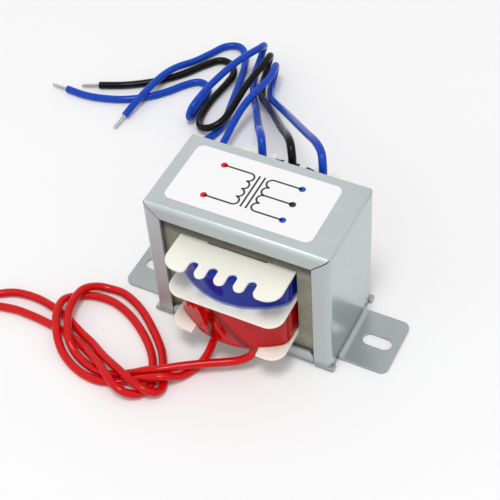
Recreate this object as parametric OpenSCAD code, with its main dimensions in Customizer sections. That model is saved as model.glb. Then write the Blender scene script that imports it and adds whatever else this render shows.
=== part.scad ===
// Small chassis transformer: a stack of E and I laminations with a two-chamber bobbin,
// held in a folded sheet frame with two slotted feet, and five flying leads.
// Millimetres. X runs along the feet, +Z is up, the face with the primary leads looks to -Y,
// and the origin is on the mounting surface under the middle of the core.

/* [Core] */
// Width of the middle leg; the E and I proportions follow from it
tongue_w = 16; // [16:0.5:20]
// Depth of the lamination stack
stack_d = 24; // [20:0.5:30]
// Number of interleaved packs in the stack
pack_count = 8; // [4:2:12]
// Air left between neighbouring packs, and between an E and its I
pack_gap = 0.02; // [0.01:0.01:0.05]

/* [Frame] */
// Thickness of the folded sheet
sheet_t = 1; // [0.8:0.1:1.2]
// Outside radius of the folds
fold_out_r = 1.6; // [1.4:0.1:2]
// Inside radius of the folds
fold_in_r = 0.3; // [0.1:0.1:0.3]
// Width of the lips along the edges of the frame
lip_w = 4.7; // [3.5:0.1:6]
// Room between the stack and the side walls
side_clear = 0.3; // [0.3:0.1:0.6]
// Room between the stack and the lips
lip_clear = 0.5; // [0.3:0.1:0.8]
// Width of the cut between two lips at a corner
mitre_cut = 0.3; // [0.2:0.1:0.5]

/* [Feet] */
// Length of a foot beyond the side wall
foot_l = 13.2; // [12:0.2:18]
// Width of a foot
foot_w = 17.6; // [12:0.2:18]
// Radius of the corners of a foot
foot_corner_r = 2.2; // [1:0.1:4]
// Inside radius of the fold between wall and foot
foot_fold_r = 1.5; // [1:0.1:2]
// Distance of the middle of a slot from the side wall
slot_out = 7.2; // [7:0.1:7.6]
// Width of a slot
slot_w = 4; // [3:0.1:5]
// Length of a slot from end to end
slot_l = 8; // [6:0.1:8.5]
// Width of the relief cut beside a foot
relief_w = 0.4; // [0.2:0.1:0.8]
// Height of the relief cut above the floor
relief_h = 3.2; // [3:0.1:5]

/* [Strap] */
// Height of the underside of the strap above the floor
strap_lift = 0.6; // [0.4:0.1:1]
// Height of the strap's lips over its underside
strap_lip_h = 4.4; // [3:0.1:6]
// Radius of the free corners of the strap's lips
strap_corner_r = 1.7; // [0.5:0.1:2]
// Room between the strap's lips and the frame's lips
strap_clear = 0.2; // [0.1:0.1:0.5]
// How far the strap's tabs stand out beyond the side walls
tab_out = 0.7; // [0.2:0.1:1.2]
// Width of a tab along the wall
tab_w = 2; // [1.5:0.1:3]

/* [Bobbin] */
// Thickness of the bobbin's walls and flanges
bobbin_t = 0.8; // [0.6:0.1:1]
// Room between the bobbin and the core
bobbin_clear = 0.2; // [0.1:0.1:0.3]
// How far the flanges reach beyond the stack
flange_reach = 11; // [10.5:0.1:12]
// Radius of the outer corners of the flanges
flange_corner_r = 4; // [3:0.1:4.2]
// Radius of the corners beside the outermost notches
lobe_r = 1.6; // [0.6:0.1:1.6]
// Height of the upper chamber
secondary_h = 9.3; // [7:0.1:11]
// Width of a lead notch
notch_w = 2.4; // [2.3:0.1:2.5]
// Depth of a lead notch
notch_depth = 4.4; // [4:0.1:5]
// Spacing of the four front notches
front_notch_pitch = 5.3; // [5:0.1:5.5]
// Spacing of the five rear notches
rear_notch_pitch = 4.3; // [4.1:0.1:4.3]
// Half the width of the recess in the lower flange
recess_half_w = 9; // [8.6:0.1:10]

/* [Windings] */
// Build of the primary beyond the stack at the front, over its lead ends
primary_front = 10.6; // [10:0.1:10.8]
// Build of the primary beyond the stack at the rear
primary_rear = 8.9; // [7:0.1:10]
// Build of the secondary beyond the stack at the front
secondary_front = 8.9; // [7:0.1:10]
// Build of the secondary beyond the stack at the rear, over its lead ends
secondary_rear = 10.8; // [10.4:0.1:10.9]
// Room between the sides of the coils and the edges of the flanges
coil_side_clear = 0.6; // [0.4:0.1:1]
// Radius of the coils' corners, where a bowed end meets a straight side
coil_corner_r = 3.4; // [3.2:0.1:5]
// Thickness of the tape around a winding
tape_t = 0.4; // [0.2:0.1:0.6]
// Width of the tape's edge that is folded over the end of a winding
tape_fold = 3; // [1.6:0.1:3]
// Air left between a winding and its tape
tape_gap = 0.02; // [0.01:0.01:0.05]
// How far the primary tape hangs below the lower flange
tape_drop = 0.2; // [0.1:0.1:0.4]
// Room on each side of the folded tape in the recess of the lower flange
tape_foot_clear = 0.7; // [0.2:0.1:1]
// Room behind the folded tape in the recess
tape_foot_back_clear = 0.2; // [0.1:0.1:0.5]

/* [Leads] */
// Diameter of the insulation of a lead
lead_d = 2.2; // [1.8:0.1:2.2]
// Depth of a primary lead behind the face of the tape
primary_lead_inset = 1.2; // [1.1:0.1:1.6]
// Distance of the first primary lead from the side of the folded tape
primary_lead_edge = 0.2; // [0.1:0.1:1]
// Distance of the second primary lead from the middle
primary_lead_offset = 4.2; // [3:0.1:6]
// Diameter of a tinned end
wire_d = 1.1; // [0.8:0.1:1.3]
// Length of a tinned end
strip_l = 5.5; // [3:0.5:8]
// Rounding of the tip of a tinned end
tip_r = 0.3; // [0.1:0.1:0.4]

/* [Label] */
// Length of the label
label_l = 40; // [30:1:42]
// Width of the label
label_w = 20; // [14:1:22]
// Thickness of the label
label_t = 0.1; // [0.1:0.1:0.3]
// Radius of the label's corners
label_r = 2; // [1:0.5:3]
// Shift of the label from the middle of the top, towards -X
label_shift = 1.1; // [0:0.1:2]

/* [Hidden] */
$fn = 64;
// Small overlap that cuts run past a face
cut = 1;
// Core
window_w = tongue_w / 2;
window_h = tongue_w * 1.5;
yoke_h = tongue_w / 2;
core_w = tongue_w * 3;
core_h = window_h + 2 * yoke_h;
core_z = strap_lift + sheet_t;
core_top = core_z + core_h;
pack_d = stack_d / pack_count;
// Frame
frame_w = core_w + 2 * (side_clear + sheet_t);
frame_d = stack_d + 2 * (lip_clear + sheet_t);
frame_h = core_top + sheet_t;
opening_half_w = frame_w / 2 - lip_w;
opening_top = frame_h - lip_w;
// Bobbin and coils
bobbin_z = core_z + yoke_h;
bobbin_top = bobbin_z + window_h - bobbin_clear;
tube_w = tongue_w + 2 * (bobbin_clear + bobbin_t);
tube_d = stack_d + 2 * (bobbin_clear + bobbin_t);
flange_half_w = tongue_w / 2 + window_w - bobbin_clear;
flange_half_d = stack_d / 2 + flange_reach;
notch_floor = flange_half_d - notch_depth;
secondary_top = bobbin_top - bobbin_t;
secondary_z = secondary_top - secondary_h;
primary_z = bobbin_z + bobbin_t;
primary_top = secondary_z - bobbin_t;
coil_half_w = flange_half_w - coil_side_clear;
tape_foot_z = bobbin_z - tape_drop;
tape_foot_half_w = recess_half_w - tape_foot_clear;
tape_foot_y = notch_floor + tape_foot_back_clear;
// Leads
lead_sides = 8;
front_lead_y = primary_lead_inset + lead_d / 2 - stack_d / 2 - primary_front;
rear_lead_y = notch_floor + notch_w / 2;
primary_start_a = [tape_foot_half_w - primary_lead_edge - lead_d / 2, front_lead_y, tape_foot_z];
primary_start_b = [-primary_lead_offset, front_lead_y, tape_foot_z];
secondary_start_a = [-2 * rear_notch_pitch, rear_lead_y, secondary_top];
centre_tap_start = [0, rear_lead_y, secondary_top];
secondary_start_b = [2 * rear_notch_pitch, rear_lead_y, secondary_top];
// Sizes that the routes are laid for, the height of two leads, and how far the routes move with the frame
route_lead_d = 2.2;
route_frame = [50.6, 27];
low_z = 2 * route_lead_d;
front_move = [(route_frame.x - frame_w) / 2, (route_frame.y - frame_d) / 2, 0];
rear_move = [(route_frame.x - frame_w) / 2, (frame_d - route_frame.y) / 2, 0];
// Routes, from the tape down to the floor and through the knots to the stripped ends
primary_route_a = seated([
  [7, -20.3, 9.4], [7, -20.3, 7.8], [6.2, -20.8, 5.6], [3.8, -22.2, 4.2], [0.5, -24, 3.8],
  [-4, -26.5, 3.8], [-9, -29.6, 3.8], [-14, -33, 3.8], [-17, -34.2, 3.2], [-20.5, -35.4, 1.6],
  [-24.5, -37.4, 1.2], [-28.5, -38.4, 1.2], [-33, -37.7, 1.2], [-37.5, -36, 1.7], [-40.5, -34, 3.2],
  [-43, -30.5, 3.7], [-45, -27, 3.7], [-46.2, -22.5, 3.8], [-46, -18, 3.7], [-44, -14.5, 2.2],
  [-40.5, -13, 1.2], [-36, -13, 1.2], [-29.5, -15.7, 1.2], [-23, -20.5, 1.2], [-17.6, -25.6, 1.2],
  [-14.6, -30, 1.2], [-12.3, -34, 1.2], [-11.4, -36.6, 1.4], [-12.2, -38.9, 2.4], [-15, -39.8, 3.6],
  [-19, -38.9, 3.9], [-23.7, -37.2, 3.9], [-29.5, -34.6, 2.9], [-35, -31.4, 1.5], [-40, -29.3, 1.2],
  [-46, -26.6, 1.2], [-52, -24.8, 1.2], [-58, -24, 1.2], [-64, -24.8, 1.2], [-69, -27.6, 1.2]
], primary_start_a, front_move, held_points = 6);
primary_route_b = seated([
  [-4.2, -20.3, 9.4], [-4.2, -20.3, 7.8], [-4.5, -20.9, 5.6], [-5.1, -22.3, 3.2], [-5.8, -24.6, 1.6],
  [-7, -27.8, 1.2], [-8.8, -31.2, 1.7], [-11, -34, 3.6], [-14, -35.8, 3.7], [-17.8, -37, 2.4],
  [-21.3, -38.4, 1.2], [-24.5, -40, 1.2], [-29, -41, 1.2], [-34.5, -40.2, 1.2], [-40, -37.7, 1.6],
  [-43.4, -34.9, 3], [-46, -31.5, 3.7], [-48.2, -27.5, 3.8], [-49.2, -23, 3.2], [-48, -19.5, 1.5],
  [-45, -17.5, 1.2], [-40.5, -16.6, 1.2], [-36, -17, 1.2], [-30, -19.4, 1.2], [-23.5, -23.8, 1.2],
  [-19.2, -28, 1.2], [-16.6, -32, 1.2], [-14.8, -35.6, 1.2], [-15, -38.8, 1.2], [-17, -41.4, 2],
  [-20.5, -42.3, 3.4], [-25, -40.4, 4], [-30, -37, 3.2], [-35.5, -34, 1.7], [-39.5, -32.2, 1.2],
  [-44, -31, 1.2], [-49, -30.3, 1.2], [-54.5, -29.8, 1.2], [-60.5, -29.8, 1.2], [-66.5, -30.9, 1.2]
], primary_start_b, front_move, held_points = 6);
secondary_route_a = seated([
  [-8.6, 19.8, 32.6], [-8.6, 19.8, 34.2], [-8.9, 20.4, 36.5], [-10.1, 22.4, 38.1], [-12.3, 25.8, 36.9],
  [-15.4, 31, 32.4], [-19.3, 37.9, 26.6], [-28.6, 54.2, 13.6], [-33, 61.8, 7.9], [-36.9, 68.3, 3.9],
  [-40, 73.7, 1.8], [-42.4, 78.5, 1.2], [-44, 83, 1.2], [-44.7, 86.8, 1.6], [-44.8, 89.4, 3.2],
  [-44.2, 90.2, 5.8], [-43.4, 88.6, 8.2], [-43.4, 85.4, 9.4], [-44.8, 81.4, 9.8], [-46.7, 77.2, 9.5],
  [-48.3, 72.6, 9], [-49.5, 68, 8.5], [-50.3, 64, 8.2], [-50.9, 57.8, 7.8], [-51.4, 55.3, 6.7],
  [-52, 54.3, 4.5], [-52.6, 55.3, 2.3], [-53.1, 57.8, 1.3], [-53.4, 61.2, 1.2], [-53.5, 64.5, 1.2],
  [-53.5, 68, 1.2], [-54.9, 71.2, 1.2], [-58.2, 72.2, 1.2], [-61.4, 69.8, 1.2], [-65.6, 64.2, 1.2],
  [-70, 59.8, 1.2], [-75.9, 56, 1.2], [-82, 53.8, 1.2], [-88.5, 52.7, 1.2], [-95.5, 53, 1.2]
], secondary_start_a, rear_move, held_points = 11);
centre_tap_route = seated([
  [0, 19.8, 32.6], [0, 19.8, 34.2], [-0.4, 20.5, 36.8], [-1.9, 22.8, 38.6], [-4.6, 26.6, 37.1],
  [-8.9, 32.5, 32.5], [-14.2, 40.3, 26.4], [-20, 49, 19.8], [-25.9, 57.5, 13.2], [-31.3, 65.2, 7.4],
  [-35.5, 71, 3.2], [-38, 75.5, 1.5], [-39.6, 79.8, 1.2], [-40.4, 83.2, 1.6], [-40.7, 85.6, 3.2],
  [-40.2, 86.4, 5.8], [-39.3, 84.9, 8.2], [-38.8, 81.6, 9.2], [-38.9, 77.5, 9.2], [-39.5, 73, 8.7],
  [-40, 68.5, 7.9], [-40.3, 64, 6.8], [-40.6, 59.5, 5.6], [-41.5, 55.5, 4.6], [-43.8, 52.8, 3.6],
  [-47.2, 52.8, 2.4], [-49.6, 56, 1.5], [-50.6, 60.5, 1.2], [-50.8, 66, 1.2], [-50.4, 70.8, 1.2],
  [-50, 75, 1.2], [-50.1, 79.5, 1.2], [-52.5, 83.4, 1.2], [-56.7, 84.2, 1.2], [-60.3, 80.5, 1.2],
  [-64.8, 73.8, 1.2], [-71, 67.4, 1.2], [-79, 62, 1.2], [-87, 58.5, 1.2]
], centre_tap_start, rear_move, held_points = 12);
secondary_route_b = seated([
  [8.6, 19.8, 32.6], [8.6, 19.8, 34.2], [8.3, 20.4, 36.9], [6.8, 22.8, 38.9], [3.4, 26.7, 37.9],
  [-1.4, 32.2, 34], [-7, 38.8, 29.2], [-19.7, 54.4, 17.4], [-26.2, 62.6, 10.9], [-31.2, 69, 6],
  [-33.7, 73.4, 3.3], [-35.5, 77, 1.7], [-36.5, 80, 1.7], [-36.9, 82.4, 3.2], [-36.5, 83, 5.8],
  [-35.7, 81.4, 8.1], [-34.8, 78.2, 9], [-34.4, 74.5, 9.1], [-35.5, 65, 9.4], [-36.3, 59.5, 8.4],
  [-36.8, 54, 6.4], [-36.9, 48, 4.4], [-37.9, 42.8, 2.8], [-41, 40, 1.8], [-44.6, 41.5, 1.3],
  [-45.2, 46, 1.2], [-43.4, 51, 1.2], [-42.4, 56.5, 1.2], [-44.6, 68.5, 1.2], [-47.2, 80, 1.2],
  [-48.8, 85.2, 1.3], [-50.9, 89.7, 1.4], [-54.5, 92.4, 1.4], [-58.6, 90.8, 1.3], [-61.2, 86.4, 1.2],
  [-64, 80.2, 1.8], [-67.2, 73, 3.5], [-69, 66.5, 4], [-71, 55.5, 3], [-72, 49, 1.7]
], secondary_start_b, rear_move, held_points = 11);

// Leads: a route is smoothed through its points and swept with a ring at each point and half way
function unit(v) = v / norm(v);
function blend(a, b, share) = a + (b - a) * share;
function heading(p, i) = unit(p[min(i + 1, len(p) - 1)] - p[max(i - 1, 0)]);
function half_way(p, i) =
  (p[i] + p[i + 1]) / 2 + norm(p[i + 1] - p[i]) * (heading(p, i) - heading(p, i + 1)) / 8;
function smooth(p) = [
  for (i = [0 : 2 * len(p) - 2]) i % 2 == 0 ? p[i / 2] : half_way(p, (i - 1) / 2)
];
// Turns the side vector v with the path as it bends from direction a to direction b
function carry(v, a, b) =
  let (c = cross(a, b)) v * (a * b) + cross(c, v) + c * (c * v) / (1 + a * b);
function sides(t) = [
  for (i = 0, v = unit(cross(t[0], [0.4, 1, 0]));
       i < len(t);
       v = carry(v, t[i], t[min(i + 1, len(t) - 1)]), i = i + 1) v
];
// The first points of a route follow its start when the core or the bobbin changes size,
// the others follow the side of the frame, and low points follow the diameter of the lead
function seated(route, start, move, held_points) = [
  for (i = [0 : len(route) - 1])
    let (
      p = route[i],
      low = p.z < low_z ? p.z * lead_d / route_lead_d : p.z
    ) blend([p.x, p.y, low] + move, start + p - route[0], max(0, 1 - i / held_points))
];

module lead(route) {
  path = smooth(route);
  last = len(path) - 1;
  t = concat(
    [heading(route, 0)],
    [for (i = [1 : last - 1]) heading(path, i)],
    [heading(route, len(route) - 1)]
  );
  s = sides(t);
  n = lead_sides;
  rings = [
    for (i = [0 : last]) for (k = [0 : n - 1])
      path[i] + lead_d / 2 * (s[i] * cos(360 * k / n) + cross(t[i], s[i]) * sin(360 * k / n))
  ];
  skin = [
    for (i = [0 : last - 1]) for (k = [0 : n - 1])
      let (a = i * n + k, b = i * n + (k + 1) % n)
        each [[a, a + n, b + n], [a, b + n, b]]
  ];
  start_cap = [for (k = [0 : n - 1]) k];
  end_cap = [for (k = [n - 1 : -1 : 0]) last * n + k];
  polyhedron(rings, concat([start_cap], skin, [end_cap]));
}

// A tinned end goes on straight from the end of its lead
module lead_end(route) {
  last = len(route) - 1;
  d = heading(route, last);
  translate(route[last])
    rotate([0, acos(d.z), atan2(d.y, d.x)])
      rotate_extrude()
        tinned_profile();
}

module tinned_profile() {
  square([wire_d / 2 - tip_r, strip_l]);
  square([wire_d / 2, strip_l - tip_r]);
  intersection() {
    translate([wire_d / 2 - tip_r, strip_l - tip_r]) circle(tip_r);
    square([wire_d / 2, strip_l]);
  }
}

// Outlines
module rounded_rect(w, d, r) {
  square([w - 2 * r, d], center = true);
  square([w, d - 2 * r], center = true);
  for (x = [-1, 1], y = [-1, 1])
    translate([x * (w / 2 - r), y * (d / 2 - r)]) circle(r);
}

// A strip of width w standing from z0 to z1 whose upper corners are rounded
module arch_outline(w, z0, z1, r) {
  translate([-w / 2, z0]) square([w, z1 - r - z0]);
  translate([-w / 2 + r, z0]) square([w - 2 * r, z1 - z0]);
  for (x = [-1, 1])
    translate([x * (w / 2 - r), z1 - r]) circle(r);
}

module along_y(d) { rotate([90, 0, 0]) linear_extrude(d, center = true) children(); }
module along_x(w) { rotate([90, 0, 90]) linear_extrude(w, center = true) children(); }

// A box open at the bottom whose five other faces meet in rounded folds
module folded_block(w, d, z0, z1, r) {
  intersection() {
    along_y(d) arch_outline(w, z0, z1, r);
    along_x(w) arch_outline(d, z0, z1, r);
    translate([0, 0, z0]) linear_extrude(z1 - z0) rounded_rect(w, d, r);
  }
}

// Frame
module frame_shell() {
  difference() {
    folded_block(frame_w, frame_d, core_z, frame_h, fold_out_r);
    folded_block(frame_w - 2 * sheet_t, frame_d - 2 * sheet_t, core_z - cut, core_top, fold_in_r);
    translate([-opening_half_w, -frame_d, 0])
      cube([2 * opening_half_w, 2 * frame_d, opening_top]);
  }
}

module mitre_cuts() {
  for (x = [-1, 1], y = [-1, 1])
    translate([x * frame_w / 2, y * frame_d / 2, frame_h])
      rotate([0, x * 45, 0])
        cube([mitre_cut, 2 * sheet_t, 2 * (lip_w * sqrt(2) + mitre_cut)], center = true);
}

// The wall is cut away where a foot turns out of it, and slit beside the fold
module foot_cuts() {
  fold_z = sheet_t + foot_fold_r;
  for (x = [-1, 1]) {
    translate([x * frame_w / 2, 0, 0])
      cube([4 * sheet_t, foot_w + 2 * relief_w, 2 * fold_z], center = true);
    for (y = [-1, 1])
      translate([x * frame_w / 2, y * (foot_w + relief_w) / 2, 0])
        cube([4 * sheet_t, relief_w, 2 * relief_h], center = true);
  }
}

module foot_fold() {
  fold_z = sheet_t + foot_fold_r;
  translate([frame_w / 2 + foot_fold_r, 0, fold_z])
    intersection() {
      along_y(foot_w) {
        difference() {
          circle(foot_fold_r + sheet_t);
          circle(foot_fold_r);
        }
      }
      translate([-2 * fold_z, -foot_w, -2 * fold_z])
        cube([2 * fold_z, 2 * foot_w, 2 * fold_z]);
    }
}

module foot_outline() {
  inner_x = frame_w / 2 + foot_fold_r;
  outer_x = frame_w / 2 + foot_l;
  translate([inner_x, -foot_w / 2])
    square([outer_x - foot_corner_r - inner_x, foot_w]);
  translate([inner_x, -foot_w / 2 + foot_corner_r])
    square([outer_x - inner_x, foot_w - 2 * foot_corner_r]);
  for (y = [-1, 1])
    translate([outer_x - foot_corner_r, y * (foot_w / 2 - foot_corner_r)]) circle(foot_corner_r);
}

module foot() {
  foot_fold();
  difference() {
    linear_extrude(sheet_t) foot_outline();
    slot();
  }
}

module slot() {
  run = slot_l - slot_w;
  translate([frame_w / 2 + slot_out, 0, sheet_t / 2]) {
    cube([run, slot_w, 2 * sheet_t], center = true);
    for (x = [-1, 1])
      translate([x * run / 2, 0, 0]) cylinder(h = 2 * sheet_t, d = slot_w, center = true);
  }
}

module mounting_frame() {
  color("#b9c1c2") {
    difference() {
      frame_shell();
      mitre_cuts();
      foot_cuts();
    }
    foot();
    mirror([1, 0, 0]) foot();
  }
}

// Strap under the stack, with a lip at the front and rear and a tab under each corner of the frame
module strap_channel() {
  lip_half_w = opening_half_w - strap_clear;
  lip_top = strap_lift + strap_lip_h;
  difference() {
    intersection() {
      along_x(2 * lip_half_w)
        translate([0, strap_lift + lip_top]) mirror([0, 1])
          arch_outline(frame_d, strap_lift, lip_top, fold_out_r);
      along_y(2 * frame_d)
        arch_outline(2 * lip_half_w, strap_lift, lip_top, strap_corner_r);
    }
    along_x(4 * frame_w)
      translate([0, core_z + lip_top]) mirror([0, 1])
        arch_outline(frame_d - 2 * sheet_t, core_z - cut, lip_top, fold_in_r);
  }
}

module strap_tabs() {
  lip_half_w = opening_half_w - strap_clear;
  tab_x = lip_half_w + relief_w;
  tab_l = frame_w / 2 + tab_out - tab_x;
  for (x = [-1, 1], y = [-1, 1])
    translate([x * (tab_x + tab_l / 2), y * (frame_d - tab_w) / 2, strap_lift + sheet_t / 2])
      cube([tab_l, tab_w, sheet_t], center = true);
}

module bottom_strap() {
  base_w = core_w + side_clear;
  base_d = frame_d - 2 * fold_out_r;
  color("#aab2b2") {
    strap_channel();
    strap_tabs();
    translate([-base_w / 2, -base_d / 2, strap_lift]) cube([base_w, base_d, sheet_t]);
  }
}

// Core
module e_outline() {
  difference() {
    translate([-core_w / 2, yoke_h + pack_gap]) square([core_w, core_h - yoke_h - pack_gap]);
    for (x = [-1, 1])
      translate([x * (tongue_w + window_w) / 2 - window_w / 2, yoke_h - cut])
        square([window_w, window_h + cut]);
  }
}

module i_outline() {
  translate([-core_w / 2, 0]) square([core_w, yoke_h]);
}

// Every second pack is turned over, so that the joints of one pack lie beside the legs of the next
module interleaved() {
  for (i = [0 : pack_count - 1])
    translate([0, -stack_d / 2 + (i + 0.5) * pack_d, core_z + core_h / 2])
      along_y(pack_d - pack_gap)
        mirror([0, i % 2])
          translate([0, -core_h / 2]) children();
}

module e_laminations() { color("#8d8c7a") interleaved() e_outline(); }
module i_laminations() { color("#85846f") interleaved() i_outline(); }

// Bobbin
module flange_blank() {
  rounded_rect(2 * flange_half_w, 2 * flange_half_d, flange_corner_r);
}

module tube_hole() {
  square([tube_w - 2 * bobbin_t, tube_d - 2 * bobbin_t], center = true);
}

// What is left of a corner square when its rounding is taken away
module lobe_corner(x) {
  difference() {
    translate([x * lobe_r, -lobe_r]) square(2 * lobe_r, center = true);
    circle(lobe_r);
  }
}

// A row of round-bottomed notches with round-ended teeth between them, cut into the edge at -Y
module notch_row(count, pitch) {
  half_row = (count - 1) * pitch / 2;
  root_y = -(notch_floor + notch_w / 2);
  tooth_w = pitch - notch_w;
  difference() {
    union() {
      translate([-half_row - notch_w / 2, -2 * flange_half_d])
        square([2 * half_row + notch_w, 2 * flange_half_d + root_y]);
      for (i = [0 : count - 1])
        translate([i * pitch - half_row, root_y]) circle(notch_w / 2);
      for (x = [-1, 1])
        translate([x * (half_row + notch_w / 2 + lobe_r), -flange_half_d + lobe_r]) lobe_corner(-x);
    }
    for (i = [0 : count - 2])
      translate([(i + 0.5) * pitch - half_row, 0]) {
        translate([-tooth_w / 2, -flange_half_d + tooth_w / 2])
          square([tooth_w, flange_half_d - tooth_w / 2]);
        translate([0, -flange_half_d + tooth_w / 2]) circle(tooth_w / 2);
      }
  }
}

module top_flange() {
  difference() {
    flange_blank();
    tube_hole();
    notch_row(4, front_notch_pitch);
    mirror([0, 1]) notch_row(5, rear_notch_pitch);
  }
}

module middle_flange() {
  difference() {
    flange_blank();
    tube_hole();
  }
}

module bottom_flange() {
  difference() {
    flange_blank();
    tube_hole();
    for (y = [-1, 1])
      translate([0, y * (notch_floor + flange_half_d)])
        square([2 * recess_half_w, 2 * flange_half_d], center = true);
  }
}

module bobbin() {
  color("#efecdd") {
    translate([0, 0, bobbin_z]) linear_extrude(bobbin_t) bottom_flange();
    translate([0, 0, primary_top]) linear_extrude(bobbin_t) middle_flange();
    translate([0, 0, secondary_top]) linear_extrude(bobbin_t) top_flange();
    translate([0, 0, bobbin_z])
      linear_extrude(bobbin_top - bobbin_z)
        difference() {
          square([tube_w, tube_d], center = true);
          tube_hole();
        }
  }
}

// Points of an arc about a middle; its angles count from -Y towards +X, and it has the facets of $fn
function arc_points(middle, r, from, to) =
  let (steps = ceil((to - from) * $fn / 360)) [
    for (i = [0 : steps])
      let (a = from + (to - from) * i / steps) middle + r * [sin(a), -cos(a)]
  ];
function without_ends(points) = [for (i = [1 : len(points) - 2]) points[i]];

// The half of a coil's outline at -Y, from one side to the other: a bow about the middle between
// two corners, whose own middles stay in place as the outline is inset
function half_coil(bow_r, inset) =
  let (
    x = coil_half_w - coil_corner_r,
    y = sqrt(pow(bow_r - coil_corner_r, 2) - pow(x, 2)),
    bow_turn = atan2(x, y)
  ) concat(
    arc_points([-x, -y], coil_corner_r - inset, -90, -bow_turn),
    without_ends(arc_points([0, 0], bow_r - inset, -bow_turn, bow_turn)),
    arc_points([x, -y], coil_corner_r - inset, bow_turn, 90)
  );

// Coils: bowed at the front and rear, flat where they pass through the windows
module coil_outline(front, rear, inset) {
  front_half = half_coil(stack_d / 2 + front, inset);
  rear_half = half_coil(stack_d / 2 + rear, inset);
  polygon(concat(front_half, -rear_half));
}

module winding(front, rear) {
  difference() {
    coil_outline(front, rear, tape_t + tape_gap);
    square([tube_w, tube_d], center = true);
  }
}

// The tape fills a chamber from z0 to z1 but for the room of the winding, which starts at room_z
// and runs out of one end, and an opening through the edge that is folded over the other end
module tape(front, rear, z0, z1, room_z) {
  difference() {
    translate([0, 0, z0]) linear_extrude(z1 - z0) coil_outline(front, rear, 0);
    translate([0, 0, room_z]) linear_extrude(z1 - z0) coil_outline(front, rear, tape_t);
    translate([0, 0, z0 - cut]) linear_extrude(z1 - z0 + 2 * cut) coil_outline(front, rear, tape_fold);
  }
}

module primary_winding() {
  winding_z = primary_z + tape_t + tape_gap;
  color("#b5672f")
    translate([0, 0, winding_z])
      linear_extrude(primary_top - winding_z) winding(primary_front, primary_rear);
}

module secondary_winding() {
  color("#b5672f")
    translate([0, 0, secondary_z])
      linear_extrude(secondary_h - tape_t - tape_gap) winding(secondary_front, secondary_rear);
}

// The primary tape folds under the winding, and hangs in the recess of the lower flange,
// where its leads come out
module primary_tape() {
  color("#c21f1f") {
    tape(primary_front, primary_rear, primary_z, primary_top, primary_z + tape_t);
    translate([0, 0, tape_foot_z])
      linear_extrude(primary_z - tape_foot_z)
        intersection() {
          coil_outline(primary_front, primary_rear, 0);
          translate([-tape_foot_half_w, -2 * flange_half_d])
            square([2 * tape_foot_half_w, 2 * flange_half_d - tape_foot_y]);
        }
  }
}

// The secondary tape folds over the winding, where it shows through the notches of the upper flange
module secondary_tape() {
  color("#2a2f96")
    tape(secondary_front, secondary_rear, secondary_z, secondary_top, secondary_z - tape_t);
}

module label() {
  color("#f2f2f0")
    translate([-label_shift, 0, frame_h])
      linear_extrude(label_t) rounded_rect(label_l, label_w, label_r);
}

module primary_lead_a() { color("#cd1014") lead(primary_route_a); }
module primary_lead_b() { color("#cd1014") lead(primary_route_b); }
module secondary_lead_a() { color("#1e3cbe") lead(secondary_route_a); }
module centre_tap_lead() { color("#1b1b1b") lead(centre_tap_route); }
module secondary_lead_b() { color("#1e3cbe") lead(secondary_route_b); }

module primary_end_a() { color("#c9ccd0") lead_end(primary_route_a); }
module primary_end_b() { color("#c9ccd0") lead_end(primary_route_b); }
module secondary_end_a() { color("#c9ccd0") lead_end(secondary_route_a); }
module centre_tap_end() { color("#c9ccd0") lead_end(centre_tap_route); }
module secondary_end_b() { color("#c9ccd0") lead_end(secondary_route_b); }

mounting_frame();
bottom_strap();
e_laminations();
i_laminations();
bobbin();
primary_winding();
secondary_winding();
primary_tape();
secondary_tape();
label();
primary_lead_a();
primary_lead_b();
secondary_lead_a();
centre_tap_lead();
secondary_lead_b();
primary_end_a();
primary_end_b();
secondary_end_a();
centre_tap_end();
secondary_end_b();
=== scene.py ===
import math

import bmesh
import bpy
from bpy.props import FloatProperty, FloatVectorProperty, IntProperty, PointerProperty
from mathutils import Matrix, Vector


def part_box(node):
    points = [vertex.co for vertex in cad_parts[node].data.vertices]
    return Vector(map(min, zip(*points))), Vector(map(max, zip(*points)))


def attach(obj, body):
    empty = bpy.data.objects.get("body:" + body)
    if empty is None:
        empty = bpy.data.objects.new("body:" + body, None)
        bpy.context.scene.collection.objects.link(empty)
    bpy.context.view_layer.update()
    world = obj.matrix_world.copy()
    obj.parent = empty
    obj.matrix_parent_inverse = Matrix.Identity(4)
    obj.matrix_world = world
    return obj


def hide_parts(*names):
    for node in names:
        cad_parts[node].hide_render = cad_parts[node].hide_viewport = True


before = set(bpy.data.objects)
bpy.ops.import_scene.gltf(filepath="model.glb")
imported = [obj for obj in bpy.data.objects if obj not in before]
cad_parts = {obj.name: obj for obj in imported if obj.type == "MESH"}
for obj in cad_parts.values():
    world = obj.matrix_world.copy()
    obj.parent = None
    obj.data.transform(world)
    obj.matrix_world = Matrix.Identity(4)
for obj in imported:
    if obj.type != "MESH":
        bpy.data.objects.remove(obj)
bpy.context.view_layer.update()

bl_info = {
    "name": "Chassis transformer looks",
    "version": (1, 0, 0),
    "blender": (4, 5, 0),
    "location": "View3D > Sidebar > Transformer",
    "description": "Dresses a small chassis transformer with its leads, coils, bobbin, frame and label",
    "category": "Add Mesh",
}

MM = 0.001
BODY = "root"

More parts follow.
